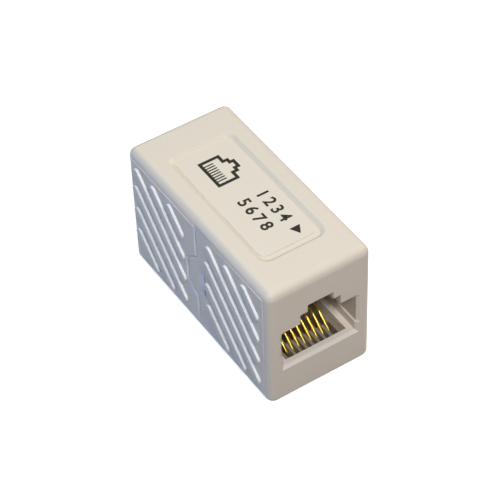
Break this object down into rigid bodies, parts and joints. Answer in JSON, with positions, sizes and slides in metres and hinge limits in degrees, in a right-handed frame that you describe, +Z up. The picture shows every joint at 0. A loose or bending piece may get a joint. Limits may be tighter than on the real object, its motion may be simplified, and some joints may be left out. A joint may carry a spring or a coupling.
{
  "type": "network cable coupler",
  "caption": "Straight-through coupler with a modular network plug socket in each end of a two-piece snap-together housing.",
  "frame": {"origin": "middle of the underside", "axes": "+Z up, towards the label and the latch notches; Y along the coupler, the first socket opens towards -Y and the second towards +Y; X across"},
  "size_m": [0.018, 0.036, 0.022],
  "materials": {
    "housing": "fine moulded ivory plastic",
    "carrier": "moulded plastic",
    "board": "green solder mask",
    "contacts": "gold plated",
    "label": "satin film with dark print"
  },
  "bodies": {
    "root": {"front_shell": "housing", "rear_shell": "housing", "front_contact_carrier": "carrier", "rear_contact_carrier": "carrier", "circuit_board": "board", "label": "label", "contact_front_1": "contacts", "contact_front_2": "contacts", "contact_front_3": "contacts", "contact_front_4": "contacts", "contact_front_5": "contacts", "contact_front_6": "contacts", "contact_front_7": "contacts", "contact_front_8": "contacts", "contact_rear_1": "contacts", "contact_rear_2": "contacts", "contact_rear_3": "contacts", "contact_rear_4": "contacts", "contact_rear_5": "contacts", "contact_rear_6": "contacts", "contact_rear_7": "contacts", "contact_rear_8": "contacts"}
  },
  "joints": []
}
